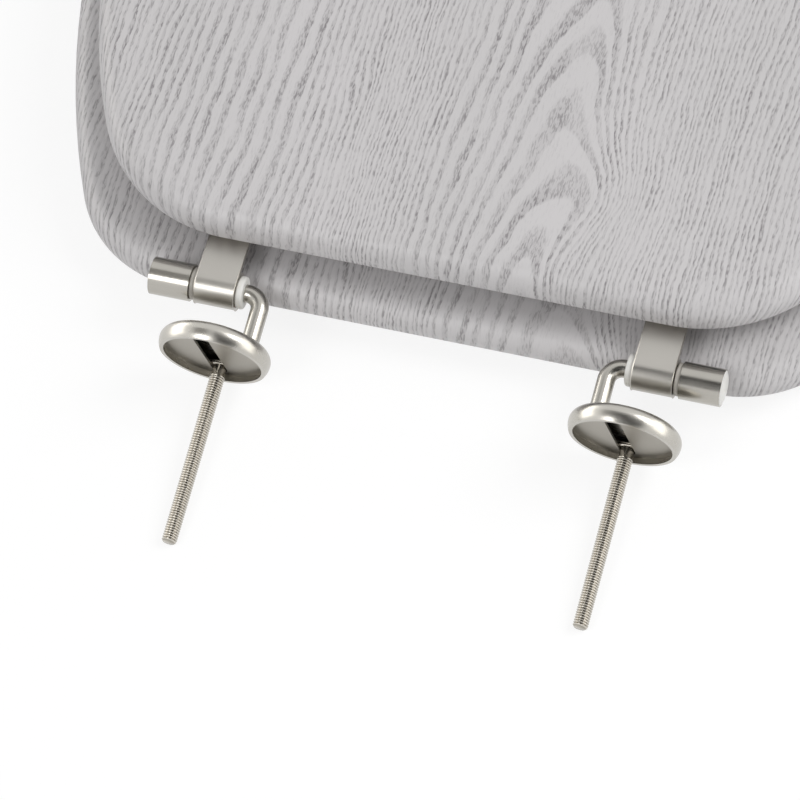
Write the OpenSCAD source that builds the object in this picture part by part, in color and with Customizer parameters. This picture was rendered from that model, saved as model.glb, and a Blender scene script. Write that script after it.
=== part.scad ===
// Toilet seat with a closed lid on two barrel hinges, lying on a flat surface.
// The hinge posts are swung back, so the fixing studs point to the rear and their tips touch the surface.
// X is across the seat, the front of the seat is towards -Y, and Z is up.
// The origin is under the middle of the whole object, on the surface that it lies on.

/* [Seat ring] */
// Thickness of the ring
ring_t = 15; // [12:0.5:18]
// Distance from the hinge axis forward to the ring's rear edge
ring_setback = 4.4; // [4.4:0.1:10]
// Half length of the straight stretch of the ring's rear edge
ring_rear_half = 107; // [105:1:115]
// Radius of the ring's rear corners
ring_corner_r = 51; // [40:1:60]
// Angle that a rear corner of the ring turns through
ring_corner_turn = 65; // [60:1:72]
// Radius of the ring's long side curves
ring_side_r = 355; // [300:5:420]
// Length of the ring from its rear edge to its front
ring_len = 430; // [400:5:470]
// Height from the ring's top face up to the hinge axis
axis_above_ring = 4.5; // [4.5:0.1:6]
// Radius that rounds the ring's top edges
ring_top_round = 8; // [5:0.5:9]
// Radius that rounds the ring's bottom edges
ring_bottom_round = 6; // [2:0.5:6.5]

/* [Seat opening] */
// Half width of the opening
opening_half_w = 113; // [95:1:125]
// Distance from the ring's rear edge to the opening
opening_setback = 94; // [75:1:110]
// Width of the ring at its front
front_rim_w = 52; // [40:1:70]
// Share of the opening's length that lies behind its widest place
opening_rear_share = 0.45; // [0.4:0.01:0.55]

/* [Lid] */
// Thickness of the lid
lid_t = 16; // [12:0.5:18]
// Distance from the hinge axis forward to the lid's rear edge
lid_setback = 16; // [15:0.5:20]
// Half length of the straight stretch of the lid's rear edge
lid_rear_half = 88; // [84:1:94]
// Radius of the lid's rear corners
lid_corner_r = 64; // [55:1:75]
// Angle that a rear corner of the lid turns through
lid_corner_turn = 64; // [58:1:70]
// Radius of the lid's long side curves
lid_side_r = 255; // [220:5:300]
// Distance that the lid's front stays behind the ring's front
lid_front_inset = 12; // [6:1:20]
// Radius that rounds the lid's top edges
lid_top_round = 9; // [5:0.5:9.5]
// Radius that rounds the lid's bottom edges
lid_bottom_round = 5; // [2:0.5:6]

/* [Hinge leaves] */
// Outer diameter of both hinge barrels
barrel_d = 14.5; // [13.5:0.1:15]
// Thickness of the sheet that the lid's leaf is rolled from
lid_sheet = 1.5; // [1.2:0.1:1.8]
// Thickness of the sheet that the ring's leaf is rolled from
ring_sheet = 1.4; // [1:0.1:1.4]
// Distance from the seat's middle to the inner end of the lid's barrel
barrel_start = 78.5; // [76:0.5:82]
// Length of the lid's barrel
lid_barrel_len = 16.2; // [14:0.2:18]
// Gap between the two barrels, filled by the flange of the ring's bush
barrel_gap = 2.3; // [1.8:0.1:3]
// Length of the ring's barrel
ring_barrel_len = 16; // [14:0.2:18]
// Width of the web that joins the ring's barrel to its plate
web_w = 9; // [7:0.5:11]
// Length of the lid's leaf in front of the lid's rear edge
lid_leaf_len = 46; // [40:1:60]
// Length of the ring's leaf in front of the ring's rear edge
ring_leaf_len = 44; // [40:1:60]
// Width of the seam where the rolled sheet comes back to itself
roll_seam = 0.4; // [0.3:0.1:0.8]

/* [Hinge posts] */
// Diameter of the bent rod
rod_d = 7; // [6:0.1:7.5]
// Radius of the rod's bend, on its centre line
rod_bend_r = 6; // [5:0.1:7]
// Distance from the seat's middle to the leg of the post
leg_x = 68.7; // [66:0.1:69]
// Diameter of the flanges of the nylon bushes
flange_d = 12.8; // [11.5:0.1:13.4]
// Thickness of the visible flange at the inner end of the lid's barrel
flange_t = 2.8; // [1.6:0.1:3]
// Radial running clearance of the rod in its bushes
running_gap = 0.05; // [0.02:0.01:0.1]
// Diameter of the spring clip that keeps the rod in the bushes
clip_d = 10.6; // [9.8:0.1:10.8]
// Thickness of the spring clip
clip_t = 0.8; // [0.6:0.1:1]
// How far the end cap stands out of the ring's barrel
cap_proud = 1.2; // [0.8:0.1:2]

/* [Cover discs] */
// Largest diameter of the cover disc
cover_d = 44; // [42:0.5:46]
// Height of the cover disc
cover_h = 8.2; // [8:0.1:9]
// Distance from the hinge axis to the rim of the cover disc
cover_reach = 29.5; // [29.5:0.1:32]
// Offset of the disc's middle from the leg of the post
cover_offset = 12.3; // [11.5:0.1:13]
// Thickness of the disc's sheet
cover_sheet = 1.2; // [1:0.1:1.2]
// Radius that rounds the disc's shoulder
cover_shoulder = 4.3; // [4:0.1:4.6]
// How far the rim of the disc curls inward from its widest place
rim_curl = 1.1; // [0.6:0.1:1.5]
// Depth of the slot plate behind the rim
plate_recess = 3; // [2.8:0.1:3.4]
// Thickness of the slot plate
plate_t = 1; // [0.8:0.1:1.1]

/* [Fixing studs] */
// Outside diameter of the stud's thread
stud_d = 6; // [5:0.1:6.2]
// Diameter of the plain neck, from the stud's head to just past the disc's rim
neck_d = 5.3; // [4.5:0.1:5.5]
// Clearance on each side of the stud's thread as it goes through the slot
slot_gap = 0.1; // [0.05:0.05:0.3]
// How far the stud slides down the slot from the middle of the disc
slot_low = 16; // [12:0.5:16]
// How far the stud slides up the slot from the middle of the disc
slot_high = 14; // [10:0.5:14]
// Angle that the slot is turned across the disc
slot_turn = 7; // [0:0.5:8]
// Distance that the slot is set off sideways at the middle of the disc
slot_shift = 2.3; // [0:0.1:2.5]
// Distance from the hinge axis to the tip of the stud
stud_reach = 99.5; // [80:0.5:120]
// Chamfer at the tip of the stud
stud_chamfer = 0.8; // [0.4:0.1:1.2]
// Width of the stud's flat head across the slot
head_w = 9.6; // [8:0.1:10]
// Length of the stud's flat head along the slot
head_l = 6; // [5.6:0.1:6.4]
// Thickness of the stud's flat head
head_t = 1.4; // [1:0.1:1.5]

/* [Screws and bumpers] */
// Diameter of the wood screws
screw_d = 4; // [3.5:0.1:4.2]
// Length of the wood screws
screw_len = 13; // [10:0.5:13]
// Diameter of the countersunk screw heads
screw_head_d = 7.6; // [7:0.1:8]
// Length of a ring bumper
bumper_l = 34; // [26:1:40]
// Width of a ring bumper
bumper_w = 14; // [12:0.5:18]
// Height that the ring bumpers hold the ring above the surface
bumper_h = 10; // [10:0.1:12]
// Diameter of a lid bumper
lid_bumper_d = 20; // [16:0.5:24]
// Gap between a lid bumper and the ring's top
lid_bumper_gap = 0.2; // [0.1:0.1:0.4]

/* [Hidden] */
$fn = 64;
wood = "#c3c1c0";
steel = "#a9a7a2";
bright_steel = "#b9b7b2";
nylon = "#f2f1ec";
eps = 0.01;

// Heights above the surface
axis_z = bumper_h + ring_t + axis_above_ring;
ring_bottom_z = bumper_h;
ring_top_z = bumper_h + ring_t;
lid_bottom_z = axis_z + barrel_d / 2;

// The posts droop until the chamfered tips of the studs touch the surface
stud_low = slot_low * cos(slot_turn) + stud_d / 2;
stud_touch = stud_reach - stud_chamfer;
droop = asin(axis_z / norm([stud_touch, stud_low])) - atan2(stud_low, stud_touch);

// The origin lies midway between the ring's front and the studs' tips
rear_reach = stud_reach * cos(droop) - (stud_low - stud_d + stud_chamfer) * sin(droop);
front_reach = ring_setback + ring_len;
axis_y = (front_reach - rear_reach) / 2;

// Stations along X of one hinge, from its inner to its outer end
lid_barrel_end = barrel_start + lid_barrel_len;
ring_barrel_start = lid_barrel_end + barrel_gap;
ring_barrel_end = ring_barrel_start + ring_barrel_len;
cap_plug = 2;
clip_room = 0.3;
rod_tail = 1;
groove_depth = 0.7;
clip_mouth = 3.2;
cap_inset = 0.4;
clip_x = ring_barrel_end - cap_plug - clip_room - rod_tail - clip_t;
rod_end = clip_x + clip_t + rod_tail;
flange_gap = 0.2;
ring_bore_r = barrel_d / 2 - ring_sheet;
lid_bore_r = barrel_d / 2 - lid_sheet;
bush_fit = 0.02;

// Places along the post's leg, measured from the hinge axis
cover_x = leg_x + cover_offset;
cover_top = cover_reach - cover_h;
cover_inner_top = cover_top + cover_sheet;
plate_top = cover_reach - plate_recess - plate_t;
rivet_r = 2.5;
rivet_head_r = 4.2;
rivet_head_t = 0.9;
slot_w = stud_d + 2 * slot_gap;
head_seat_gap = 0.1;
neck_past_rim = 0.4;

// Screw places along the leaves, measured forward from the edge that the leaf lies under
screw_first = 14;
screw_pitch = 20;
screw_fit = 0.05;
screw_point_h = 2;
screw_point_r = 0.6;
leaf_round = 3;

// The ring leaf's web stands just behind the ring's rear edge and bends under it
web_gap = 0.2;
web_bend_r = 2.5;

// Bumper places, measured in from the ring's widest place and forward from the hinge axis
ring_half_w = ring_rear_half + ring_corner_r * sin(ring_corner_turn) + ring_side_r * (1 - sin(ring_corner_turn));
ring_bumper_rear_x = ring_half_w - 48.5;
ring_bumper_rear_y = 62;
ring_bumper_front_x = ring_half_w - 88.5;
ring_bumper_front_y = 350;
lid_bumper_x = ring_bumper_front_x - 2;
lid_bumper_y = 352;
lid_bumper_bevel = 2;

// The bumpers' screws sit in sunk holes, this far below the boards
bumper_sink_d = 7;
ring_bumper_sink = 3.5;
lid_bumper_sink = 4;
bumper_screw_r = 1.5;
bumper_screw_head_r = 2.9;
bumper_screw_head_t = 2;

// Points on each stretch of half an outline, and on each rounded edge
outline_steps = [4, 10, 5, 18];
edge_steps = 5;

// Half an outline from the middle of its rear edge round to the middle of its front.
// It is a straight rear edge, a corner arc, a long side arc and a quarter of an ellipse.
// inset draws the same outline that much smaller on every side.
function half_outline(rear, corner_r, turn, side_r, setback, len, inset = 0) =
    let (
        n = outline_steps,
        r1 = corner_r - inset,
        r2 = side_r - inset,
        y0 = -setback - inset,
        x1 = rear + r1 * sin(turn),
        y1 = y0 - r1 * (1 - cos(turn)),
        x2 = x1 + r2 * (1 - sin(turn)),
        y2 = y1 - r2 * cos(turn),
        front = y2 + setback + len - inset
    )
    concat(
        [for (i = [0:n[0] - 1]) [rear * i / n[0], y0]],
        [for (i = [0:n[1] - 1]) let (a = turn * i / n[1]) [rear + r1 * sin(a), y0 - r1 * (1 - cos(a))]],
        [for (i = [0:n[2] - 1]) let (a = turn + (90 - turn) * i / n[2])
            [x1 + r2 * (sin(a) - sin(turn)), y1 - r2 * (cos(turn) - cos(a))]],
        [for (i = [0:n[3]]) let (a = 90 * i / n[3]) [x2 * cos(a), y2 - front * sin(a)]]
    );

// Half of the egg-shaped opening, with as many points as half an outline
function half_opening(inset = 0) =
    let (
        n = len(half_outline(ring_rear_half, ring_corner_r, ring_corner_turn, ring_side_r, 0, ring_len)) - 1,
        rear_y = -ring_setback - opening_setback,
        front_y = -ring_setback - ring_len + front_rim_w,
        mid_y = rear_y + (front_y - rear_y) * opening_rear_share
    )
    [for (i = [0:n]) let (a = 90 - 180 * i / n, h = a > 0 ? rear_y - mid_y : mid_y - front_y)
        [(opening_half_w + inset) * cos(a), mid_y + (h + inset) * sin(a)]];

// A whole outline, clockwise from above, from its right half
function whole(half) = concat(half, [for (i = [len(half) - 2:-1:1]) [-half[i][0], half[i][1]]]);

// The rounded edge of a board, from its bottom face to its top face, as [inset, height]
function edge_profile(t, low_r, top_r) = concat(
    [for (i = [0:edge_steps]) let (a = 90 * i / edge_steps) [low_r * (1 - sin(a)), low_r * (1 - cos(a))]],
    [for (i = [0:edge_steps]) let (a = 90 * i / edge_steps) [top_r * (1 - cos(a)), t - top_r * (1 - sin(a))]]
);

// Faces between ring j and ring j + 1 of m rings of n points; closed joins the last ring to the first
function skin(n, m, closed) = [for (j = [0:m - (closed ? 1 : 2)]) for (i = [0:n - 1])
    let (k = (i + 1) % n, l = (j + 1) % m) [j * n + i, j * n + k, l * n + k, l * n + i]];

function ring_half(inset) =
    half_outline(ring_rear_half, ring_corner_r, ring_corner_turn, ring_side_r, ring_setback, ring_len, inset);
lid_len = front_reach - lid_front_inset - lid_setback;
function lid_half(inset) =
    half_outline(lid_rear_half, lid_corner_r, lid_corner_turn, lid_side_r, lid_setback, lid_len, inset);

// The ring's board: one closed section carried round between the outer edge and the opening
module ring_board() {
    edge = edge_profile(ring_t, ring_bottom_round, ring_top_round);
    m = len(edge);
    outer = [for (e = edge) [for (p = whole(ring_half(e[0]))) [p[0], p[1], e[1]]]];
    inner = [for (j = [m - 1:-1:0]) [for (p = whole(half_opening(edge[j][0]))) [p[0], p[1], edge[j][1]]]];
    loops = concat(outer, inner);
    n = len(loops[0]);
    polyhedron([for (l = loops) for (p = l) p], skin(n, 2 * m, true), convexity = 6);
}

// The lid's board, rounded all the way round
module lid_board() {
    edge = edge_profile(lid_t, lid_bottom_round, lid_top_round);
    m = len(edge);
    loops = [for (e = edge) [for (p = whole(lid_half(e[0]))) [p[0], p[1], e[1]]]];
    n = len(loops[0]);
    middle = -lid_setback - lid_len / 2;
    // Each flat face is a fan of triangles about its middle, the last two points
    points = concat([for (l = loops) for (p = l) p], [[0, middle, 0], [0, middle, lid_t]]);
    caps = [for (i = [0:n - 1]) let (k = (i + 1) % n, top = (m - 1) * n)
        each [[k, i, m * n], [top + i, top + k, m * n + 1]]];
    polyhedron(points, concat(skin(n, m, false), caps), convexity = 4);
}

// Everything on the hinge axis is drawn for the hinge at +X with the axis through the origin
module at_axis() {
    translate([0, axis_y, axis_z]) children();
}

module on_side(side) {
    at_axis() mirror([side < 0 ? 1 : 0, 0, 0]) children();
}

// Turns a post that points straight down from the axis to its drooping place behind the seat
module swung_back(side) {
    on_side(side) rotate([90 - droop, 0, 0]) children();
}

// A shape drawn across the axis as [y, z] and drawn out along X
module along_x(x0, x1) {
    translate([x0, 0, 0]) rotate([90, 0, 90]) linear_extrude(x1 - x0) children();
}

module tube_x(x0, x1, outer_r, inner_r) {
    along_x(x0, x1) difference() {
        circle(outer_r);
        circle(inner_r);
    }
}

function screw_steps() = [screw_first, screw_first + screw_pitch];
lid_screw_x = barrel_start + lid_barrel_len / 2;
ring_screw_x = ring_barrel_start + ring_barrel_len / 2;

// A countersunk wood screw with its head's face at the origin and its point up, without its thread
module screw(r_extra = 0) {
    head_h = (screw_head_d - screw_d) / 2;
    shank_h = screw_len - screw_point_h;
    cylinder(h = head_h, r1 = screw_head_d / 2 + r_extra, r2 = screw_d / 2 + r_extra);
    translate([0, 0, head_h - eps]) cylinder(h = shank_h - head_h + eps, d = screw_d + 2 * r_extra);
    translate([0, 0, shank_h - eps])
        cylinder(h = screw_point_h + eps, r1 = screw_d / 2 + r_extra, r2 = screw_point_r + r_extra);
}

// The screws of one leaf, as a pattern that also cuts their holes
module ring_leaf_screw_set(r_extra = 0) {
    for (s = screw_steps())
        translate([ring_screw_x, -ring_setback - s, ring_bottom_z - axis_z - ring_sheet]) screw(r_extra);
}

module lid_leaf_screw_set(r_extra = 0) {
    for (s = screw_steps())
        translate([lid_screw_x, -lid_setback - s, barrel_d / 2 - lid_sheet]) screw(r_extra);
}

function bumper_places() = [
    [ring_bumper_rear_x, -ring_bumper_rear_y, 90], [-ring_bumper_rear_x, -ring_bumper_rear_y, 90],
    [ring_bumper_front_x, -ring_bumper_front_y, 45], [-ring_bumper_front_x, -ring_bumper_front_y, -45]];

// A bumper's screw stands in a sunk hole; its point is up in the board
module bumper_screw(r_extra = 0) {
    cylinder(h = bumper_screw_head_t, r = bumper_screw_head_r + r_extra);
    translate([0, 0, bumper_screw_head_t - eps])
        cylinder(h = screw_len - bumper_screw_head_t, r = bumper_screw_r + r_extra);
}
ring_bumper_screw_z = bumper_h - ring_bumper_sink;
lid_bumper_screw_z = lid_bottom_z - lid_bumper_sink;

module ring_bumper_screw_set(r_extra = 0) {
    for (p = bumper_places())
        translate([p[0], axis_y + p[1], ring_bumper_screw_z]) bumper_screw(r_extra);
}

module lid_bumper_screw_set(r_extra = 0) {
    for (side = [-1, 1])
        translate([side * lid_bumper_x, axis_y - lid_bumper_y, lid_bumper_screw_z]) bumper_screw(r_extra);
}

// Board of the seat ring, with the pilot holes of its screws
module seat_ring() {
    color(wood) difference() {
        translate([0, axis_y, ring_bottom_z]) ring_board();
        for (side = [-1, 1]) on_side(side) ring_leaf_screw_set(screw_fit);
        ring_bumper_screw_set(screw_fit);
    }
}

// Board of the lid, with the pilot holes of its screws
module lid() {
    color(wood) difference() {
        translate([0, axis_y, lid_bottom_z]) lid_board();
        for (side = [-1, 1]) on_side(side) lid_leaf_screw_set(screw_fit);
        lid_bumper_screw_set(screw_fit);
    }
}

// Lid leaf: a strip that lies under the lid and is rolled down and round into the barrel
module lid_leaf(side) {
    r = barrel_d / 2;
    color(steel) on_side(side) difference() {
        along_x(barrel_start, lid_barrel_end) difference() {
            union() {
                circle(r);
                translate([-lid_setback - lid_leaf_len, r - lid_sheet])
                    square([lid_setback + lid_leaf_len, lid_sheet]);
            }
            circle(lid_bore_r);
            translate([-r - eps, r - lid_sheet - roll_seam]) square([r, roll_seam]);
        }
        lid_leaf_screw_set(screw_fit);
        // The strip's far end has rounded corners
        for (x = [0, 1]) translate([barrel_start + x * lid_barrel_len, -lid_setback - lid_leaf_len, 0])
            corner_cut(x);
    }
}

// Cuts one square corner of a leaf to a quarter round; end 0 is the inner side, 1 the outer
module corner_cut(end) {
    translate([0, 0, -barrel_d]) linear_extrude(2 * barrel_d) mirror([end, 0]) difference() {
        translate([-1, -1]) square(leaf_round + 1);
        translate([leaf_round, leaf_round]) circle(leaf_round);
    }
}

// Ring leaf: the barrel, a narrow web down the ring's rear edge and a plate under the ring
module ring_leaf(side) {
    r = barrel_d / 2;
    web_y = -ring_setback + web_gap;
    plate_z = ring_bottom_z - axis_z;
    bend = [web_y + ring_sheet - web_bend_r, plate_z - ring_sheet + web_bend_r];
    color(steel) on_side(side) difference() {
        union() {
            along_x(ring_barrel_start, ring_barrel_end) circle(r);
            along_x(ring_barrel_start, ring_barrel_start + web_w) {
                translate([web_y, bend[1]]) square([ring_sheet, -bend[1] - r / 2]);
                // The bend below the ring's rear edge
                intersection() {
                    translate(bend) difference() {
                        circle(web_bend_r);
                        circle(web_bend_r - ring_sheet);
                    }
                    translate([bend[0], bend[1] - web_bend_r]) square(web_bend_r);
                }
                translate([bend[0] - ring_bottom_round, plate_z - ring_sheet])
                    square([ring_bottom_round, ring_sheet]);
            }
            // The plate under the ring
            along_x(ring_barrel_start, ring_barrel_end)
                translate([-ring_setback - ring_leaf_len, plate_z - ring_sheet])
                square([ring_leaf_len - ring_bottom_round, ring_sheet]);
        }
        along_x(ring_barrel_start - 1, ring_barrel_end + 1) circle(ring_bore_r);
        ring_leaf_screw_set(screw_fit);
        for (x = [0, 1]) translate([ring_barrel_start + x * ring_barrel_len, -ring_setback - ring_leaf_len,
            plate_z]) corner_cut(x);
    }
}

module ring_leaf_screws(side) {
    color(bright_steel) on_side(side) ring_leaf_screw_set();
}

module lid_leaf_screws(side) {
    color(bright_steel) on_side(side) lid_leaf_screw_set();
}

// A flange with a softly rounded edge, from x0 to x1
module flange(x0, x1) {
    t = x1 - x0;
    soft = t / 3;
    r = flange_d / 2;
    translate([x0, 0, 0]) rotate([0, 90, 0]) rotate_extrude() difference() {
        union() {
            translate([0, 0]) square([r - soft, t]);
            translate([0, soft]) square([r, t - 2 * soft]);
            translate([r - soft, soft]) circle(soft, $fn = 24);
            translate([r - soft, t - soft]) circle(soft, $fn = 24);
        }
        translate([-r, -1]) square([r + rod_d / 2 + running_gap, t + 2]);
    }
}

// Nylon bush in the lid's barrel, with its flange at the inner end
module lid_bush(side) {
    color(nylon) on_side(side) {
        tube_x(barrel_start - flange_t / 2, lid_barrel_end - flange_gap, lid_bore_r - bush_fit, rod_d / 2 + running_gap);
        flange(barrel_start - flange_t, barrel_start);
    }
}

// Nylon bush in the ring's barrel, with its flange between the two barrels
module ring_bush(side) {
    color(nylon) on_side(side) {
        tube_x(ring_barrel_start - barrel_gap / 2, clip_x - flange_gap, ring_bore_r - bush_fit, rod_d / 2 + running_gap);
        flange(lid_barrel_end + flange_gap, ring_barrel_start);
    }
}

// Domed cap that closes the outer end of the ring's barrel
module end_cap(side) {
    r = barrel_d / 2 - cap_inset;
    color(nylon) on_side(side) translate([ring_barrel_end, 0, 0]) rotate([0, 90, 0]) rotate_extrude() {
        translate([0, -cap_plug]) square([ring_bore_r - bush_fit, cap_plug + eps]);
        square([r - cap_proud / 2, cap_proud]);
        square([r, cap_proud / 2]);
        intersection() {
            translate([r - cap_proud / 2, cap_proud / 2]) circle(cap_proud / 2, $fn = 24);
            square([r, cap_proud]);
        }
    }
}

// Spring clip in the rod's groove, open on one side
module post_clip(side) {
    color(bright_steel) on_side(side) along_x(clip_x, clip_x + clip_t) difference() {
        circle(clip_d / 2);
        circle(rod_d / 2 - groove_depth + running_gap);
        translate([0, -clip_mouth / 2]) square([clip_d, clip_mouth]);
    }
}

// Bent rod: it turns in the bushes, and its leg is riveted into the cover disc
module hinge_post(side) {
    r = rod_d / 2;
    color(bright_steel) on_side(side) {
        difference() {
            translate([leg_x + rod_bend_r, 0, 0]) rotate([0, 90, 0])
                cylinder(h = rod_end - leg_x - rod_bend_r, r = r);
            tube_x(clip_x - running_gap, clip_x + clip_t + running_gap, r + 1, r - groove_depth);
        }
        rotate([90 - droop, 0, 0]) {
            // The bend, from the axis down into the leg
            translate([leg_x + rod_bend_r, 0, -rod_bend_r]) rotate([90, 0, 0])
                rotate([0, 0, 90]) rotate_extrude(angle = 90) translate([rod_bend_r, 0]) circle(r);
            translate([leg_x, 0, -cover_top + running_gap])
                cylinder(h = cover_top - running_gap - rod_bend_r, r = r);
            translate([leg_x, 0, -cover_inner_top - running_gap - eps])
                cylinder(h = cover_sheet + 2 * running_gap + 2 * eps, r = rivet_r);
            translate([leg_x, 0, -cover_inner_top - running_gap - rivet_head_t])
                cylinder(h = rivet_head_t, r = rivet_head_r);
        }
    }
}

// Cover disc: a shallow cup of sheet metal with a round shoulder and a rim that curls inward
module cover_disc(side) {
    color(steel) swung_back(side) translate([cover_x, 0, -cover_reach]) difference() {
        rotate_extrude($fn = 128) difference() {
            cover_section(0);
            cover_section(cover_sheet);
        }
        translate([leg_x - cover_x, 0, cover_h - 2 * cover_sheet])
            cylinder(h = 3 * cover_sheet, r = rivet_r + running_gap);
    }
}

// Radius of the arc that brings the wall in by rim_curl over the height mid
function curl_radius(mid) = mid * mid / (2 * rim_curl) + rim_curl / 2;

// Half section of the disc, as [radius, height above the rim]; inset draws the hollow inside it
module cover_section(inset) {
    r = cover_d / 2;
    shoulder = cover_shoulder - inset;
    mid = cover_h - cover_shoulder;
    curl = curl_radius(mid);
    intersection() {
        translate([0, inset > 0 ? -1 : 0]) square([r, cover_h - inset + (inset > 0 ? 1 : 0)]);
        union() {
            translate([r - cover_shoulder, mid]) circle(shoulder);
            translate([0, mid]) square([r - cover_shoulder, shoulder]);
            // Below its widest place the wall curls inward to the rim
            intersection() {
                translate([r - curl, mid]) circle(curl - inset, $fn = 256);
                translate([0, -2]) square([r, mid + 2]);
            }
            translate([0, -2]) square([r - curl, mid + 2]);
        }
    }
}

// Inner radius of the cup at a height above its rim
function cup_radius(h) =
    let (
        mid = cover_h - cover_shoulder,
        curl = curl_radius(mid),
        shoulder = cover_shoulder - cover_sheet
    )
    h < mid
        ? cover_d / 2 - curl + sqrt(pow(curl - cover_sheet, 2) - pow(mid - h, 2))
        : cover_d / 2 - cover_shoulder + sqrt(pow(shoulder, 2) - pow(h - mid, 2));

// Both plates are the same part, laid the same way, so the slot isn't mirrored with its disc
module along_slot(side) {
    mirror([side < 0 ? 1 : 0, 0, 0]) translate([slot_shift, 0, 0]) rotate(-slot_turn) children();
}

// Slot plate: it lies inside the cup and the stud slides in its slot
module slot_plate(side) {
    seat_r = min(cup_radius(plate_recess), cup_radius(plate_recess + plate_t));
    color(bright_steel) swung_back(side) translate([cover_x, 0, -plate_top - plate_t]) difference() {
        cylinder(h = plate_t, r = seat_r - bush_fit, $fn = 128);
        along_slot(side) translate([0, 0, -1]) linear_extrude(plate_t + 2) {
            translate([-slot_w / 2, -slot_low]) square([slot_w, slot_low + slot_high]);
            for (y = [-slot_low, slot_high]) translate([0, y]) circle(slot_w / 2);
        }
    }
}

// Fixing stud, slid to the low end of the slot, with a flat head behind the plate
module stud(side) {
    r = stud_d / 2;
    top = -plate_top + head_seat_gap;
    thread_top = cover_reach + neck_past_rim;
    color(steel) swung_back(side) translate([cover_x, 0, 0]) along_slot(side) translate([0, -slot_low, 0]) {
        translate([-head_w / 2, -head_l / 2, top]) cube([head_w, head_l, head_t]);
        translate([0, 0, -thread_top - eps]) cylinder(h = thread_top + top + 2 * eps, d = neck_d);
        translate([0, 0, -stud_touch]) cylinder(h = stud_touch - thread_top, r = r);
        translate([0, 0, -stud_reach]) cylinder(h = stud_chamfer + eps, r1 = r - stud_chamfer, r2 = r);
    }
}

// Ring bumper: a long pad with round ends, screwed up into the ring through a sunk hole
module ring_bumper(place) {
    p = bumper_places()[place];
    half = (bumper_l - bumper_w) / 2;
    color(nylon) translate([p[0], axis_y + p[1], 0]) difference() {
        rotate(p[2]) linear_extrude(bumper_h) {
            square([2 * half, bumper_w], center = true);
            for (e = [-1, 1]) translate([e * half, 0]) circle(bumper_w / 2);
        }
        translate([0, 0, -1]) cylinder(h = ring_bumper_screw_z + 1, d = bumper_sink_d);
        translate([0, 0, ring_bumper_screw_z]) bumper_screw(screw_fit);
    }
}

// Lid bumper: a round pad that keeps the lid level above the ring
module lid_bumper(side) {
    low = ring_top_z + lid_bumper_gap;
    color(nylon) translate([side * lid_bumper_x, axis_y - lid_bumper_y, 0]) difference() {
        translate([0, 0, low]) {
            cylinder(h = lid_bumper_bevel, d1 = lid_bumper_d - 2 * lid_bumper_bevel, d2 = lid_bumper_d);
            translate([0, 0, lid_bumper_bevel - eps])
                cylinder(h = lid_bottom_z - low - lid_bumper_bevel + eps, d = lid_bumper_d);
        }
        translate([0, 0, low - 1]) cylinder(h = lid_bumper_screw_z - low + 1, d = bumper_sink_d);
        translate([0, 0, lid_bumper_screw_z]) bumper_screw(screw_fit);
    }
}

module ring_bumper_screws() {
    color(bright_steel) ring_bumper_screw_set();
}

module lid_bumper_screws() {
    color(bright_steel) lid_bumper_screw_set();
}

seat_ring();
lid();
ring_leaf(-1);  // ring_leaf_left
ring_leaf(1);  // ring_leaf_right
lid_leaf(-1);  // lid_leaf_left
lid_leaf(1);  // lid_leaf_right
ring_leaf_screws(-1);  // ring_leaf_screws_left
ring_leaf_screws(1);  // ring_leaf_screws_right
lid_leaf_screws(-1);  // lid_leaf_screws_left
lid_leaf_screws(1);  // lid_leaf_screws_right
ring_bush(-1);  // ring_bush_left
ring_bush(1);  // ring_bush_right
lid_bush(-1);  // lid_bush_left
lid_bush(1);  // lid_bush_right
end_cap(-1);  // end_cap_left
end_cap(1);  // end_cap_right
post_clip(-1);  // post_clip_left
post_clip(1);  // post_clip_right
hinge_post(-1);  // hinge_post_left
hinge_post(1);  // hinge_post_right
cover_disc(-1);  // cover_disc_left
cover_disc(1);  // cover_disc_right
slot_plate(-1);  // slot_plate_left
slot_plate(1);  // slot_plate_right
stud(-1);  // stud_left
stud(1);  // stud_right
ring_bumper(3);  // ring_bumper_front_left
ring_bumper(2);  // ring_bumper_front_right
ring_bumper(1);  // ring_bumper_rear_left
ring_bumper(0);  // ring_bumper_rear_right
lid_bumper(-1);  // lid_bumper_left
lid_bumper(1);  // lid_bumper_right
ring_bumper_screws();
lid_bumper_screws();
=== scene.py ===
from math import asin, cos, hypot, pi, radians, sin, sqrt

import bpy
from mathutils import Matrix, Vector


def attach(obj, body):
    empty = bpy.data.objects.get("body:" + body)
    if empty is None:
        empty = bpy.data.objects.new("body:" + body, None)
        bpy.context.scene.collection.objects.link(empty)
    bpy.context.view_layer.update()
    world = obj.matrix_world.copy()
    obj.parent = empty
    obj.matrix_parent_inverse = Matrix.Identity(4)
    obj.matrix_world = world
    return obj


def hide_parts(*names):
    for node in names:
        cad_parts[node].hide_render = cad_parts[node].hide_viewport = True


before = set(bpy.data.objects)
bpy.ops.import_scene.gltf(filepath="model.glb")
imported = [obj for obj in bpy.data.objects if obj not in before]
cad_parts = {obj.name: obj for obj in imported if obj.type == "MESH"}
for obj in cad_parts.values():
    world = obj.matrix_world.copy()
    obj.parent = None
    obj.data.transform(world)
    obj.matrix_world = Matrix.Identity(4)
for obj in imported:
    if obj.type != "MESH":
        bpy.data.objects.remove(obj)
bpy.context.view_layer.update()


# Seat ring: a board of MDF, cut to its outline, with an egg-shaped opening and all its
# edges rounded over. A printed foil with a pale grey ash figure is drawn over its top and
# edges in a membrane press, and a second sheet of the same foil covers its underside.
MM = 0.001
axis_y = 168.489  # the boards are measured from the hinge axis


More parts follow.
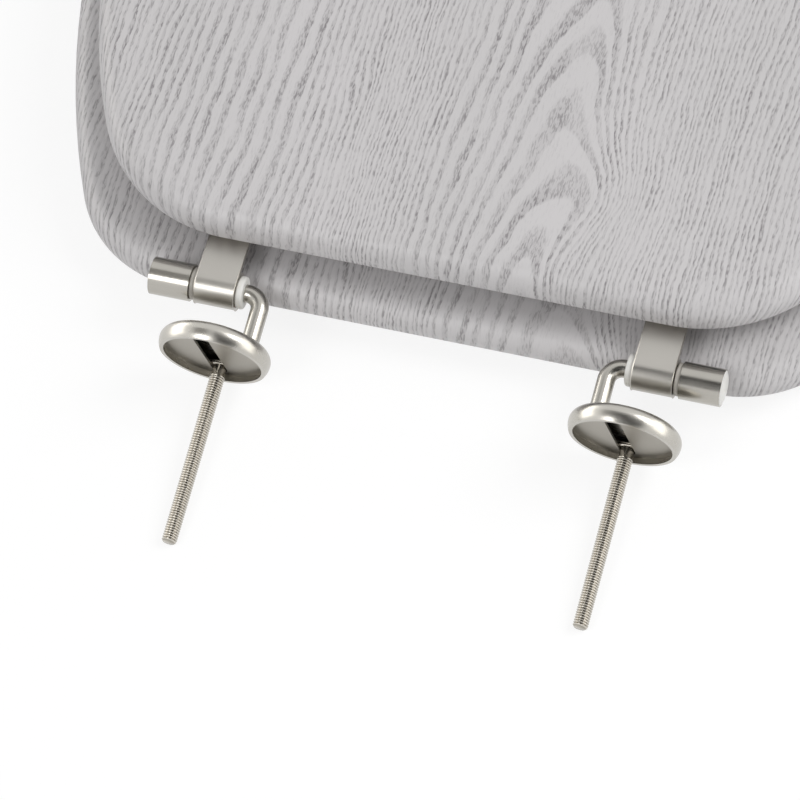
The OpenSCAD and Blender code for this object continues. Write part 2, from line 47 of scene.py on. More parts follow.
def board_outline(rear, corner_r, turn, side_r, setback, length, inset):
    """Half of a board's outline: rear edge, corner arc, long side arc, front ellipse.

    rear is half of the straight edge, turn is how many degrees the corner's arc takes,
    setback is how far the edge lies from the hinge axis, and inset draws it all in.
    """
    rear_steps, corner_steps, side_steps, front_steps = 8, 28, 14, 60
    turn = radians(turn)
    corner, side, rear_y = corner_r - inset, side_r - inset, -setback - inset
    side_x, side_y = rear + corner * sin(turn), rear_y - corner * (1 - cos(turn))
    widest_x, widest_y = side_x + side * (1 - sin(turn)), side_y - side * cos(turn)
    front = widest_y + setback + length - inset
    half = [(rear * i / rear_steps, rear_y) for i in range(rear_steps)]
    for i in range(corner_steps):
        a = turn * i / corner_steps
        half.append((rear + corner * sin(a), rear_y - corner * (1 - cos(a))))
    for i in range(side_steps):
        a = turn + (pi / 2 - turn) * i / side_steps
        half.append((side_x + side * (sin(a) - sin(turn)), side_y - side * (cos(turn) - cos(a))))
    for i in range(front_steps + 1):
        a = pi / 2 * i / front_steps
        half.append((widest_x * cos(a), widest_y - front * sin(a)))
    return half


def whole_outline(half):
    """Both halves in the frame's place, clockwise from above, from the half at +X."""
    return [(x, y + axis_y) for x, y in half + [(-x, y) for x, y in half[-2:0:-1]]]


def rounded_edge(thickness, low_r, top_r):
    """The board's edge from its flat top down to its flat underside.

    Each entry is the inset of the outline, the height, and the inset that the outline
    has on the unrolled foil, where the way down over the edge is laid out flat. The first
    and last two entries lie on the flats.
    """
    steps, near, far = 12, 1, 30
    wall = thickness - top_r - low_r
    edge = [(top_r + far, thickness, top_r + far), (top_r + near, thickness, top_r + near)]
    for i in range(steps + 1):
        a = pi / 2 * i / steps
        edge.append((top_r * (1 - sin(a)), thickness - top_r * (1 - cos(a)), top_r * (1 - a)))
    for i in range(steps + 1):
        a = pi / 2 * i / steps
        edge.append((low_r * (1 - cos(a)), low_r * (1 - sin(a)),
                     top_r * (1 - pi / 2) - wall - low_r * a))
    flat = edge[-1][2]
    edge += [(low_r + near, 0, flat - near), (low_r + far, 0, flat - far)]
    return edge


def mesh_from_loops(name, loops, close=False, start=None, end=None):
    """Joins closed loops of points into a skin. A point at start or end caps it to a fan."""
    count = len(loops[0])
    points = [p for loop in loops for p in loop]
    faces = []
    for j in range(len(loops) if close else len(loops) - 1):
        k = (j + 1) % len(loops)
        for i in range(count):
            n = (i + 1) % count
            faces.append((j * count + i, j * count + n, k * count + n, k * count + i))
    for middle, base in ((start, 0), (end, (len(loops) - 1) * count)):
        if middle is None:
            continue
        points.append(middle)
        for i in range(count):
            fan = (base + i, base + (i + 1) % count, len(points) - 1)
            faces.append(fan if base else fan[::-1])
    mesh = bpy.data.meshes.new(name)
    mesh.from_pydata([Vector(p) * MM for p in points], [], faces)
    mesh.validate()
    mesh.shade_smooth()
    piece = bpy.data.objects.new(name, mesh)
    bpy.context.scene.collection.objects.link(piece)
    return piece


def lay_foil(piece, flat_at, shift):
    """Writes where each corner of each face lies on the flat foil, in metres.

    flat_at gives the place on the top sheet of each point, and the underside is cut from
    another part of the roll.
    """
    under_shift, facing_down = (0.07, -0.31), -0.999
    foil = piece.data.uv_layers.new(name="foil")
    for face in piece.data.polygons:
        under = face.normal.z < facing_down
        for corner in face.loop_indices:
            index = piece.data.loops[corner].vertex_index
            if under:
                place = piece.data.vertices[index].co
                foil.data[corner].uv = (place.x + under_shift[0], place.y + under_shift[1])
            else:
                x, y = flat_at[index]
                foil.data[corner].uv = (x * MM + shift[0], y * MM + shift[1])


def add_node(tree, kind, sockets=None, **settings):
    """Adds one shader node and fills its sockets with values or other nodes' outputs."""
    made = tree.nodes.new("ShaderNode" + kind)
    for name, value in settings.items():
        setattr(made, name, value)
    for name, value in (sockets or {}).items():
        if isinstance(value, bpy.types.NodeSocket):
            tree.links.new(value, made.inputs[name])
        else:
            made.inputs[name].default_value = value
    return made


def linear(hex_colour):
    """A colour written as sRGB hex, in the linear values that a shader takes."""
    parts = [int(hex_colour[i:i + 2], 16) / 255 for i in (1, 3, 5)]
    return tuple(c / 12.92 if c <= 0.04045 else ((c + 0.055) / 1.055) ** 2.4 for c in parts) + (1,)


def new_material(name):
    """An empty material: its node tree and the socket that its shader goes to."""
    material = bpy.data.materials.new(name)
    material.use_nodes = True
    material.node_tree.nodes.clear()
    surface = add_node(material.node_tree, "OutputMaterial").inputs["Surface"]
    return material, material.node_tree, surface


def ash_foil_material():
    """Melamine-coated print of limed ash: grey pore streaks in the growth rings, satin."""
    material, tree, surface = new_material("ash_foil_printed_satin")

    def maths(operation, *values, clamp=False):
        return add_node(tree, "Math", dict(enumerate(values)), operation=operation,
                        use_clamp=clamp).outputs[0]

    # Millimetres across and along the wood
    place = add_node(tree, "SeparateXYZ", {0: add_node(tree, "UVMap", uv_map="foil").outputs[0]})
    across = maths("MULTIPLY", place.outputs[0], 1 / MM)
    along = maths("MULTIPLY", place.outputs[1], 1 / MM)

    def noise(x_mm, y_mm, detail, seed):
        """Noise whose grains are about x_mm across the wood and y_mm along it."""
        vector = add_node(tree, "CombineXYZ", {
            0: maths("MULTIPLY", across, 1 / x_mm), 1: maths("MULTIPLY", along, 1 / y_mm), 2: seed})
        return add_node(tree, "TexNoise", {"Vector": vector.outputs[0], "Scale": 1.0,
                                           "Detail": detail}).outputs["Fac"]

    def around_zero(value, reach):
        """A noise moved to both sides of zero, reach in all."""
        return maths("MULTIPLY", maths("SUBTRACT", value, 0.5), reach)

    def above(value, level, gain):
        """What stands above a level, from 0 to 1."""
        return maths("MULTIPLY", maths("SUBTRACT", value, level), gain, clamp=True)

    def hill(value, width):
        """A part of an exponent that falls away on both sides of zero."""
        return maths("MULTIPLY", maths("MULTIPLY", value, value), -1 / width ** 2)

    # The heart of the figure, where the saw ran along the top of the growth rings. The
    # noises bend it, ripple it and fray it, and the last shift puts it back in its place.
    heart_x, heart_y, lean, heart_shift = -30.0, 72.0, 0.03, 2.7
    side = maths("ADD", maths("SUBTRACT", across, heart_x), maths("MULTIPLY", along, -lean))
    side = maths("ADD", side, around_zero(noise(60, 170, 2, 3.1), 16.0))
    side = maths("ADD", side, around_zero(noise(8, 18, 2, 7.7), 3.8))
    side = maths("ADD", side, around_zero(noise(1.3, 4.5, 1, 8.8), 0.9))
    side = maths("ADD", side, heart_shift)
    run = maths("SUBTRACT", along, heart_y)

    # Beside the heart the growth rings bulge out and crowd together
    bulge_side, bulge_run, bulge_width, bulge_length, bulge_by = -15.0, 37.0, 17, 20, 10.0
    bulge = maths("EXPONENT", maths("ADD", hill(maths("SUBTRACT", side, bulge_side), bulge_width),
                                    hill(maths("SUBTRACT", run, bulge_run), bulge_length)))
    side = maths("ADD", side, maths("MULTIPLY", bulge, bulge_by))

    # How many growth rings lie between the heart and a place so far beside it, in mm. The
    # curve runs from 0 to 1 both ways, so the places and the counts are scaled to that.
    counted = ((-300, -112), (-110, -42), (-60, -21.5), (-36, -11), (-20, -4.6), (-8, -1.0), (0, 0),
               (10, 1.1), (30, 3.6), (42, 6), (92, 30), (100, 32), (165, 46), (300, 112))
    curve_mm, curve_rings = 600, 300
    count = add_node(tree, "FloatCurve", {"Value": maths("MULTIPLY_ADD", side, 1 / curve_mm, 0.5)})
    curve = count.mapping.curves[0]
    for i, (x, rings) in enumerate(counted):
        spot = (x / curve_mm + 0.5, rings / curve_rings + 0.5)
        if i in (0, len(counted) - 1):
            curve.points[0 if i == 0 else -1].location = spot
        else:
            curve.points.new(*spot)
    count.mapping.update()
    rings = around_zero(count.outputs[0], curve_rings)

    # The growth rings cross the heart in arches with rounded tips, closer or wider apart
    arch_width, rings_per_mm, tip_round = 24, 0.034, 0.20
    uneven_every, uneven_by = 2.9, 1.9
    slope = maths("MULTIPLY", maths("EXPONENT", hill(side, arch_width)), rings_per_mm)
    arch = maths("SUBTRACT", maths("SQRT", maths("ADD", maths("MULTIPLY", rings, rings), tip_round)),
                 maths("MULTIPLY", run, slope))
    uneven = add_node(tree, "TexNoise", {
        "Vector": add_node(tree, "CombineXYZ", {0: maths("DIVIDE", arch, uneven_every)}).outputs[0],
        "Scale": 1.0, "Detail": 1.0}).outputs["Fac"]
    phase = maths("FRACT", maths("ADD", arch, around_zero(uneven, uneven_by)))

    # Each growth ring starts with its open pores, which thin out towards the next
    streak = add_node(tree, "ValToRGB", {0: phase})
    shape = streak.color_ramp.elements
    shape[0].color = shape[1].color = (0, 0, 0, 1)
    for position, dark in ((0.08, 0.92), (0.40, 0.72), (0.60, 0.0)):
        shape.new(position).color = (dark, dark, dark, 1)

    # Pores: dashes about 0.5 mm wide and 3 mm long, drawn a little wider than real ones
    pores = above(noise(0.55, 2.6, 2, 1.3), 0.47, 7.0)
    fine = above(noise(0.9, 9, 2, 5.9), 0.44, 3.0)
    faded = above(noise(9, 34, 2, 4.2), 0.34, 3.4)
    in_streak = maths("MULTIPLY", maths("MULTIPLY", streak.outputs[0],
                                        maths("MULTIPLY_ADD", pores, 0.68, 0.32)),
                      maths("MULTIPLY_ADD", faded, 0.60, 0.40))
    between = maths("MULTIPLY", maths("MULTIPLY", pores, fine), 0.22)
    dark = maths("ADD", in_streak, between, clamp=True)

    pale = add_node(tree, "Mix", {0: noise(45, 160, 2, 9.4), 6: linear("#dbd8d9"),
                                  7: linear("#cfcdcd")}, data_type="RGBA").outputs[2]
    colour = add_node(tree, "Mix", {0: dark, 6: pale, 7: linear("#878385")},
                      data_type="RGBA").outputs[2]
    relief = add_node(tree, "Bump", {"Strength": 0.25, "Distance": 0.06 * MM,
                                     "Height": maths("SUBTRACT", 1.0, dark)})
    foil = add_node(tree, "BsdfPrincipled", {
        "Base Color": colour, "IOR": 1.48, "Normal": relief.outputs[0],
        "Roughness": maths("MULTIPLY_ADD", dark, 0.12, 0.42)})
    tree.links.new(foil.outputs[0], surface)
    return material


ash_foil = ash_foil_material()
ring_measures = dict(rear=107, corner_r=51, turn=65, side_r=355, setback=4.4, length=430)
ring_bottom, ring_thick, ring_low_r, ring_top_r = 10, 15, 6, 8
opening_half_w, opening_rear, opening_front = 113, -98.4, -382.4
opening_widest = 0.45  # of the way from its rear end to its front end
opening_middle = opening_rear + (opening_front - opening_rear) * opening_widest


def opening_outline(inset, count):
    """Half of the opening, with as many points as half of the ring's outline."""
    half = []
    for i in range(count):
        a = pi / 2 - pi * i / (count - 1)
        reach = opening_rear - opening_middle if a > 0 else opening_middle - opening_front
        half.append(((opening_half_w + inset) * cos(a), opening_middle + (reach + inset) * sin(a)))
    return half


ring_loops, ring_flat = [], []
ring_edge = rounded_edge(ring_thick, ring_low_r, ring_top_r)[1:-1]
for inset, height, unrolled in ring_edge:
    outline = whole_outline(board_outline(**ring_measures, inset=inset))
    ring_loops.append([(x, y, height + ring_bottom) for x, y in outline])
    ring_flat += whole_outline(board_outline(**ring_measures, inset=unrolled))
half_count = len(board_outline(**ring_measures, inset=0))
for inset, height, unrolled in ring_edge[::-1]:
    outline = whole_outline(opening_outline(inset, half_count))
    ring_loops.append([(x, y, height + ring_bottom) for x, y in outline])
    ring_flat += whole_outline(opening_outline(unrolled, half_count))
ring_board = mesh_from_loops("ring_board", ring_loops, close=True)
lay_foil(ring_board, ring_flat, (0.012, -0.062))
ring_board.data.materials.append(ash_foil)
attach(ring_board, "ring")
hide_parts("seat_ring")


# Lid: a board of the same MDF and foil, a little smaller than the ring, flat on top with a
# larger round all the way along its upper edge.
lid_measures = dict(rear=88, corner_r=64, turn=64, side_r=255, setback=16, length=406.4)
lid_bottom, lid_thick, lid_low_r, lid_top_r = 36.75, 16, 5, 9
lid_loops, lid_flat = [], []
for inset, height, unrolled in rounded_edge(lid_thick, lid_low_r, lid_top_r):
    outline = whole_outline(board_outline(**lid_measures, inset=inset))
    lid_loops.append([(x, y, height + lid_bottom) for x, y in outline])
    lid_flat += whole_outline(board_outline(**lid_measures, inset=unrolled))
lid_middle = axis_y - lid_measures["setback"] - lid_measures["length"] / 2
lid_flat += [(0, lid_middle), (0, lid_middle)]
lid_board = mesh_from_loops("lid_board", lid_loops, start=(0, lid_middle, lid_bottom + lid_thick),
                            end=(0, lid_middle, lid_bottom))
lay_foil(lid_board, lid_flat, (0, 0))
lid_board.data.materials.append(ash_foil)
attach(lid_board, "lid")
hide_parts("lid")


# Hinge leaves: stainless steel strip, rolled round into the barrels and satin polished. It
# shows soft reflections of the room in warm grey, with the fine lines of the polishing belt.
axis_z, barrel_r = 29.5, 7.25
strip_end = -62  # the front end of the lid's strip, from the hinge axis


def steel_material(name, hex_colour, roughness, line_mm):
    """Steel with lines that lie line_mm apart, and a finish that is a little uneven."""
    line_length_mm, clouds_per_m, uneven = 25, 90, 0.12
    material, tree, surface = new_material(name)
    place = add_node(tree, "TexCoord").outputs["Object"]
    along, across = 1 / (line_length_mm * MM), 1 / (line_mm * MM)
    stretched = add_node(tree, "Mapping", {"Vector": place, "Scale": (along, across, across)})
    lines = add_node(tree, "TexNoise", {"Vector": stretched.outputs[0], "Scale": 1.0,
                                        "Detail": 2.0})
    clouds = add_node(tree, "TexNoise", {"Vector": place, "Scale": clouds_per_m, "Detail": 2.0})
    rough = add_node(tree, "Math", {0: clouds.outputs["Fac"], 1: uneven, 2: roughness - uneven / 2},
                     operation="MULTIPLY_ADD")
    relief = add_node(tree, "Bump", {"Strength": 0.10, "Distance": 0.02 * MM,
                                     "Height": lines.outputs["Fac"]})
    metal = add_node(tree, "BsdfPrincipled", {
        "Base Color": linear(hex_colour), "Metallic": 1.0, "Roughness": rough.outputs[0],
        "Normal": relief.outputs[0]})
    tree.links.new(metal.outputs[0], surface)
    return material


satin_steel = steel_material("stainless_steel_satin", "#bbb8b2", 0.34, 0.12)
polished_steel = steel_material("stainless_steel_polished", "#b4b1aa", 0.24, 0.25)


def lid_leaf_section():
    """The strip seen from its end, as (y, z) about the axis: flat under the lid, then rolled."""
    sheet, seam, steps = 1.5, 0.4, 56
    inner = barrel_r - sheet
    low = inner - seam
    flat = (strip_end, strip_end + 4, -8, -2)
    section = [(y, barrel_r) for y in flat]
    start, stop = pi / 2, -pi - asin(low / barrel_r)
    for i in range(steps + 1):
        a = start + (stop - start) * i / steps
        section.append((barrel_r * cos(a), barrel_r * sin(a)))
    inner_stop = -pi - asin(low / inner)
    for i in range(steps + 1):
        a = inner_stop + (start - inner_stop) * i / steps
        section.append((inner * cos(a), inner * sin(a)))
    return section + [(y, inner) for y in flat[2::-1]]


def grown_section(section, by):
    """The section moved out all round, or in where by is below 0, as for the broken edge."""
    moved = []
    for i, (y, z) in enumerate(section):
        (y0, z0), (y1, z1) = section[i - 1], section[(i + 1) % len(section)]
        size = hypot(y1 - y0, z1 - z0)
        moved.append((y + by * (z1 - z0) / size, z - by * (y1 - y0) / size))
    return moved


def rebuild(mesh, points, faces, sharp):
    """Makes a mesh again from changed points and faces, smooth up to sharp degrees."""
    mesh.clear_geometry()
    mesh.from_pydata(points, [], faces)
    mesh.shade_smooth()
    mesh.set_sharp_from_angle(angle=radians(sharp))


def lid_leaf(side):
    """The strip and its barrel, with two rounded corners and with broken edges."""
    start, width, corner, bevel = 78.5, 16.2, 3, 0.35
    section = lid_leaf_section()
    loops = []
    from_side = [0, bevel, 0.6, 1.2, 2, corner]
    for dx in from_side + [width - d for d in from_side[::-1]]:
        near = min(dx, width - dx)
        loop = grown_section(section, -bevel if near == 0 else 0)
        cut = corner - sqrt(max(0, corner ** 2 - (corner - min(near, corner)) ** 2))
        loops.append([(side * (start + dx), axis_y + y + (cut if y < strip_end + 1 else 0), axis_z + z)
                      for y, z in loop])
    piece = mesh_from_loops("lid_leaf_rolled_" + ("left" if side < 0 else "right"), loops)
    count = len(section)
    points = [v.co.copy() for v in piece.data.vertices]
    faces = [tuple(f.vertices) for f in piece.data.polygons]
    faces += [tuple(range(count)), tuple(range(len(points) - 1, len(points) - 1 - count, -1))]
    if side > 0:
        faces = [f[::-1] for f in faces]
    rebuild(piece.data, points, faces, 35)
    return piece


for side, hand in ((-1, "left"), (1, "right")):
    leaf = lid_leaf(side)
    leaf.data.materials.append(satin_steel)
    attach(leaf, "lid")
    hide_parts("lid_leaf_" + hand)
    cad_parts["ring_leaf_" + hand].data.materials[0] = polished_steel


# Bushes and end caps: moulded nylon, white and a little waxy. Each barrel has a bush that
# the rod turns in, with a flange at its end, and a domed cap closes the outer barrel. The
# flanges between the barrels are painted grey, as painted shade from the barrels on both sides.
def nylon_material(name, hex_light, hex_dark):
    mottle_mm = 2.5
    material, tree, surface = new_material(name)
    mottle = add_node(tree, "TexNoise", {"Vector": add_node(tree, "TexCoord").outputs["Object"],
                                         "Scale": 1 / (mottle_mm * MM), "Detail": 2.0})
    tint = add_node(tree, "Mix", {0: mottle.outputs["Fac"], 6: linear(hex_light),
                                  7: linear(hex_dark)}, data_type="RGBA")
    skin = add_node(tree, "BsdfPrincipled", {
        "Base Color": tint.outputs[2], "Roughness": 0.38, "IOR": 1.53, "Subsurface Weight": 0.15,
        "Subsurface Scale": 2 * MM, "Subsurface Radius": (1.0, 0.95, 0.85)})
    tree.links.new(skin.outputs[0], surface)
    return material


def end_cap(side):
    """The cap, turned about the hinge axis: its plug in the barrel, then its low dome."""
    barrel_end, plug, plug_r, dome_r, proud, steps = 113, 2, 5.83, 6.85, 1.2, 48
    profile = [(barrel_end - plug, plug_r), (barrel_end, plug_r), (barrel_end, dome_r)]
    profile += [(barrel_end + proud * (1 - share ** 3), dome_r * share)
                for share in (0.97, 0.92, 0.85, 0.75, 0.6, 0.4, 0.2)]
    loops = [[(side * x, axis_y + r * cos(2 * pi * i / steps), axis_z + r * sin(2 * pi * i / steps))
              for i in range(steps)] for x, r in profile]
    cap = mesh_from_loops("end_cap_domed_" + ("left" if side < 0 else "right"), loops,
                          start=(side * (barrel_end - plug), axis_y, axis_z),
                          end=(side * (barrel_end + proud), axis_y, axis_z))
    if side > 0:
        cap.data.flip_normals()
    cap.data.set_sharp_from_angle(angle=radians(50))
    return cap


white_nylon = nylon_material("nylon_moulded_white", "#f3f2ee", "#e9e8e3")
# a grey copy of the white nylon, as painted shade for the flanges between the barrels
shaded_nylon = nylon_material("nylon_moulded_painted_shade", "#bcb8b1", "#aeaaa3")
for side, hand in ((-1, "left"), (1, "right")):
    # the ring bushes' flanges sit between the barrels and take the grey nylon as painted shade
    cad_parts["ring_bush_" + hand].data.materials[0] = shaded_nylon
    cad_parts["lid_bush_" + hand].data.materials[0] = white_nylon
    cap = end_cap(side)
    cap.data.materials.append(white_nylon)
    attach(cap, "ring")
    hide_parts("end_cap_" + hand)


# Hinge posts: 7 mm stainless rod, bent square and polished to a clear shine, with its lower
# end riveted to the disc. A clip stamped from sheet, in a groove, keeps it in the barrels.
for hand in ("left", "right"):
    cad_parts["hinge_post_" + hand].data.materials[0] = polished_steel
    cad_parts["post_clip_" + hand].data.materials[0] = polished_steel


# Cover discs: a cup pressed from stainless sheet, its rim curled in, and buffed all over. The
# slot plate inside is left matt from the rolling mill.
buffed_steel = steel_material("stainless_steel_buffed", "#bebbb4", 0.28, 0.25)
mill_steel = steel_material("stainless_steel_mill", "#aba79f", 0.46, 0.12)
for hand in ("left", "right"):
    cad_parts["cover_disc_" + hand].data.materials[0] = buffed_steel
    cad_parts["slot_plate_" + hand].data.materials[0] = mill_steel


# Fixing studs: M6 stainless rod with a rolled thread of 1 mm pitch, a plain neck and a flat
# head behind the slot plate. The thread shows as fine ridges, with painted shade in their roots
# and a painted highlight on their crests.
def stud_thread(side):
    """The stud as it lies, with each point's nearness to the crest, which sets painted shade and
    highlight.
    """
    outer, root, pitch, neck = 3.0, 2.5, 1.0, 2.65
    head_seat, neck_end, tip, chamfer = 25.4, 29.9, 99.5, 0.8
    turn, per_pitch = 32, 8
    run_in, run_out = 1.2, 0.15  # the thread grows over run_in, and starts past the neck
    ridge, root_flat, plain = 1.35, 0.12, 0.5  # the crest is flat where it reaches 1
    post_x, slot_x, post_y = 81, 0.350, -15.881  # the slots slant to the same side on both
    droop = radians(6.242)
    swing, slot_turn = pi / 2 - droop, radians(7)

    def on_post(x, y, along):
        """A place beside the stud's own axis and so far down it from the hinge axis."""
        x, y = side * post_x + slot_x + x, post_y + y
        return (x, axis_y + y * cos(swing) + along * sin(swing),
                axis_z + y * sin(swing) - along * cos(swing))

    def threaded(along, turned):
        """The thread's radius and crest, so far down the stud and so far round it."""
        phase = ((along - turned * pitch) / pitch) % 1
        crest = min(1, max(0, ridge * (1 - abs(2 * phase - 1)) - root_flat))
        grown = min(1, (along - neck_end) / run_in)
        radius = root + (outer - root) * (1 - (1 - crest) * grown)
        return min(radius, outer - max(0, along - (tip - chamfer))), crest

    loops, crests = [], []
    rows = [neck_end + i / per_pitch for i in range(int((tip - neck_end) * per_pitch) + 1)]
    for along in [head_seat, neck_end - run_out] + rows:
        loop = []
        for k in range(turn):
            radius, crest = threaded(along, k / turn) if along >= neck_end else (neck, plain)
            a = 2 * pi * k / turn
            loop.append(on_post(radius * cos(a), radius * sin(a), along))
            crests.append(crest)
        loops.append(loop)
    piece = mesh_from_loops("stud_threaded_" + ("left" if side < 0 else "right"), loops,
                            start=on_post(0, 0, head_seat), end=on_post(0, 0, tip))
    mesh = piece.data
    crests += [plain, plain]

    # The flat head, a small bevelled block that lies square to the slot
    half_w, half_l, thick, bevel = 4.8, 3.0, 1.4, 0.25
    head = []
    for z, inset in ((0, bevel), (bevel, 0), (thick - bevel, 0), (thick, bevel)):
        x, y = half_w - inset, half_l - inset
        for px, py in ((x, y), (-x, y), (-x, -y), (x, -y)):
            head.append(on_post(px * cos(slot_turn) + py * sin(slot_turn),
                                py * cos(slot_turn) - px * sin(slot_turn), head_seat - z))
    points = [v.co.copy() for v in mesh.vertices]
    faces = [tuple(f.vertices) for f in mesh.polygons]
    first = len(points)
    points += [Vector(p) * MM for p in head]
    crests += [plain] * len(head)
    for j in range(3):
        for i in range(4):
            k = (i + 1) % 4
            faces.append((first + 4 * j + i, first + 4 * j + k, first + 4 * j + 4 + k,
                          first + 4 * j + 4 + i))
    faces += [(first + 3, first + 2, first + 1, first), tuple(first + 12 + i for i in range(4))]
    rebuild(mesh, points, faces, 50)
    # the crest values set the colour: painted shade in the roots, painted highlight on the crests
    painted_light_by_crest = mesh.attributes.new("crest", "FLOAT", "POINT")
    painted_light_by_crest.data.foreach_set("value", crests)
    return piece


# The thread's colour runs from painted shade in the roots (#9a958b) to a painted highlight on the
# crests (#d3cec5); the neck and head take the tone between them.
stud_steel, tree, surface = new_material("stainless_steel_thread_rolled")
crest = add_node(tree, "Attribute", attribute_name="crest")
ridge = add_node(tree, "Mix", {0: crest.outputs["Fac"], 6: linear("#9a958b"),
                               7: linear("#d3cec5")}, data_type="RGBA")
metal = add_node(tree, "BsdfPrincipled", {"Base Color": ridge.outputs[2], "Metallic": 1.0,
                                          "Roughness": 0.24})
tree.links.new(metal.outputs[0], surface)
for side, hand in ((-1, "left"), (1, "right")):
    stud = stud_thread(side)
    stud.data.materials.append(stud_steel)
    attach(stud, "stud_" + hand)
    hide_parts("stud_" + hand)


# Screws: steel wood screws with a countersunk head, zinc plated, which leaves them bright
# and a little bluer than the stainless. They hold the leaves and the bumpers from below.
screw_steel = steel_material("steel_zinc_plated", "#b9bbb8", 0.3, 0.2)
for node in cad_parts:
    if "screws" in node:
        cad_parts[node].data.materials[0] = screw_steel


# Bumpers: soft PVC, moulded, milky grey and matt. Each is screwed to the underside of its
# board, four under the ring and two under the lid.
pvc_grains_per_m = 900
soft_pvc, tree, surface = new_material("pvc_moulded_milky")
mottle = add_node(tree, "TexNoise", {"Vector": add_node(tree, "TexCoord").outputs["Object"],
                                     "Scale": pvc_grains_per_m, "Detail": 3.0})
grain = add_node(tree, "Bump", {"Strength": 0.2, "Distance": 0.05 * MM,
                                "Height": mottle.outputs["Fac"]})
body = add_node(tree, "BsdfPrincipled", {
    "Base Color": linear("#d8d7d2"), "Roughness": 0.5, "IOR": 1.52, "Subsurface Weight": 0.2,
    "Subsurface Scale": 2 * MM, "Normal": grain.outputs[0]})
tree.links.new(body.outputs[0], surface)
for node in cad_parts:
    if "bumper" in node and "screws" not in node:
        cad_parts[node].data.materials[0] = soft_pvc


# The studio's table: a seamless white surface, which stays white for the lens and keeps
# the soft shadows of the seat. From below it is clear, to let the underside be looked at.
def seen_directly(tree):
    """1 for the rays of the lens, of mirrors and of glass, and 0 for those that light."""
    rays = add_node(tree, "LightPath").outputs
    seen = add_node(tree, "Math", {0: rays["Is Camera Ray"], 1: rays["Is Glossy Ray"]},
                    operation="MAXIMUM")
    return add_node(tree, "Math", {0: seen.outputs[0], 1: rays["Is Transmission Ray"]},
                    operation="MAXIMUM").outputs[0]


table_half, glow_part, glow_strength = 6, 0.78, 1.07
table_mesh = bpy.data.meshes.new("table")
table_mesh.from_pydata([(x * table_half, y * table_half, 0)
                        for x, y in ((-1, -1), (1, -1), (1, 1), (-1, 1))], [], [(0, 1, 2, 3)])
table = bpy.data.objects.new("table", table_mesh)
bpy.context.scene.collection.objects.link(table)
paper, tree, surface = new_material("paper_white_seamless")
glow_share = add_node(tree, "Math", {0: seen_directly(tree), 1: glow_part}, operation="MULTIPLY")
sheet = add_node(tree, "BsdfDiffuse", {"Color": linear("#f4f4f4")})
glow = add_node(tree, "Emission", {"Color": linear("#ffffff"), "Strength": glow_strength})
paper_mix = add_node(tree, "MixShader", {0: glow_share.outputs[0], 1: sheet.outputs[0],
                                         2: glow.outputs[0]})
one_way = add_node(tree, "MixShader", {
    0: add_node(tree, "NewGeometry").outputs["Backfacing"], 1: paper_mix.outputs[0],
    2: add_node(tree, "BsdfTransparent").outputs[0]})
tree.links.new(one_way.outputs[0], surface)
table_mesh.materials.append(paper)


# Cards round the table that only the metal mirrors: dark ones overhead and bright ones at
# both sides, to give the steel its bands of dark and light
def mirrored_card(name, corners, brightness):
    mesh = bpy.data.meshes.new(name)
    mesh.from_pydata(corners, [], [(0, 1, 2, 3)])
    card = bpy.data.objects.new(name, mesh)
    bpy.context.scene.collection.objects.link(card)
    board, tree, surface = new_material("card_" + name)
    face = add_node(tree, "Emission", {"Color": linear("#fffdf9"), "Strength": brightness})
    tree.links.new(face.outputs[0], surface)
    mesh.materials.append(board)
    card.visible_camera = False
    card.visible_shadow = False
    card.visible_diffuse = False
    card.visible_transmission = False


def level_card(name, left, right, front, rear, height, brightness):
    mirrored_card(name, [(left, front, height), (right, front, height),
                         (right, rear, height), (left, rear, height)], brightness)


def upright_card(name, x, front, rear, low, high, brightness):
    mirrored_card(name, [(x, front, low), (x, rear, low), (x, rear, high), (x, front, high)],
                  brightness)


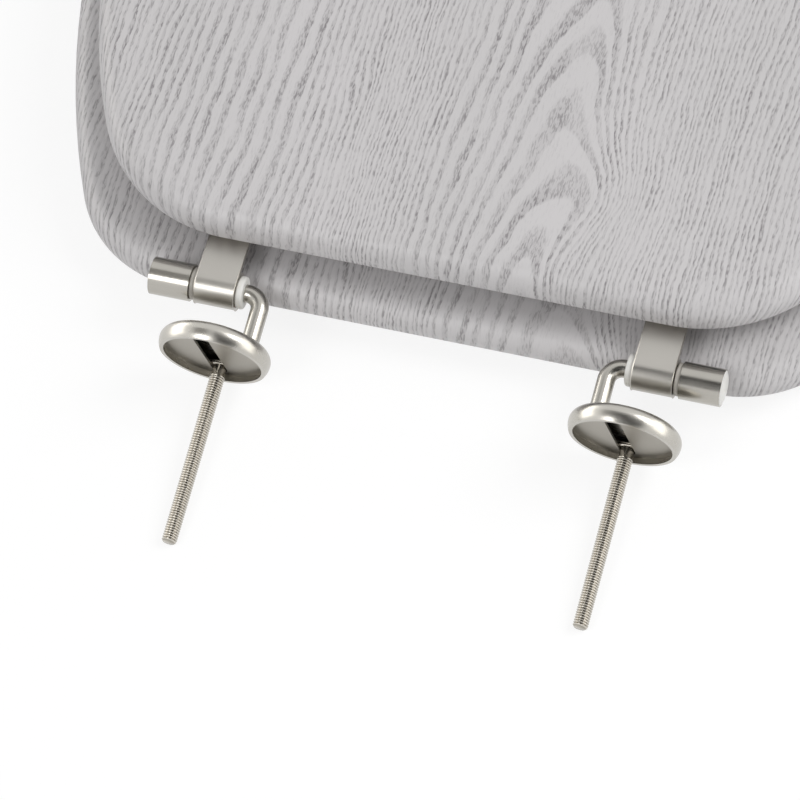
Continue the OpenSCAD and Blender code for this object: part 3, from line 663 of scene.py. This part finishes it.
level_card("dark_near", -0.4, 0.06, 0.15, 0.6, 0.36, brightness=0.03)
level_card("dark_above", 0.25, 1.0, -0.15, 0.75, 1.2, brightness=0.3)
upright_card("bright_left", 1.5, -1.4, 0.6, 0, 0.8, brightness=3.2)
upright_card("bright_right", -1.5, -1.4, 0.6, 0, 0.8, brightness=2.5)


# The room: even light from all round, white where the lens or the metal looks past the
# table, and two softboxes that shape the boards and cast the shadows.
room_light = 0.42
world = bpy.data.worlds.new("studio")
world.use_nodes = True
tree = world.node_tree
tree.nodes.clear()
strength = add_node(tree, "Math", {0: seen_directly(tree), 1: 1 - room_light, 2: room_light},
                    operation="MULTIPLY_ADD")
sky = add_node(tree, "Background", {"Color": linear("#ffffff"), "Strength": strength.outputs[0]})
tree.links.new(sky.outputs[0], add_node(tree, "OutputWorld").inputs["Surface"])
bpy.context.scene.world = world


def softbox(name, place, size, power):
    """A square lamp that faces the hinges."""
    hinges = Vector((0, 0.1, 0))
    light = bpy.data.lights.new(name, "AREA")
    light.shape = "RECTANGLE"
    light.size, light.size_y, light.energy = size, size, power
    box = bpy.data.objects.new(name, light)
    box.location = place
    box.rotation_euler = (hinges - Vector(place)).to_track_quat("-Z", "Y").to_euler()
    bpy.context.scene.collection.objects.link(box)


softbox("softbox_right", (-1.5, -0.3, 1.7), size=1.2, power=22)
softbox("softbox_rear", (0.7, 1.3, 1.6), size=0.8, power=9)


# The camera looks down on the hinges from behind and to one side, from far off. Its place
# and turn are fitted to the barrels, discs, studs and edges of the boards.
focal_px, frame_px, sensor_mm = 6201.1, 800, 36
camera_at = Vector((-488.04, 1219.63, 2084.14)) * MM
picture_right = Vector((-0.958406, -0.268463, -0.096884))
picture_up = Vector((0.193008, -0.859704, 0.472924))
lens = bpy.data.cameras.new("camera")
lens.sensor_width = sensor_mm
lens.lens = focal_px / frame_px * sensor_mm
lens.clip_end = 50
camera = bpy.data.objects.new("camera", lens)
turned = Matrix((picture_right, picture_up, picture_right.cross(picture_up))).transposed().to_4x4()
camera.matrix_world = Matrix.Translation(camera_at) @ turned
bpy.context.scene.collection.objects.link(camera)
bpy.context.scene.camera = camera
bpy.context.scene.view_settings.view_transform = "Standard"
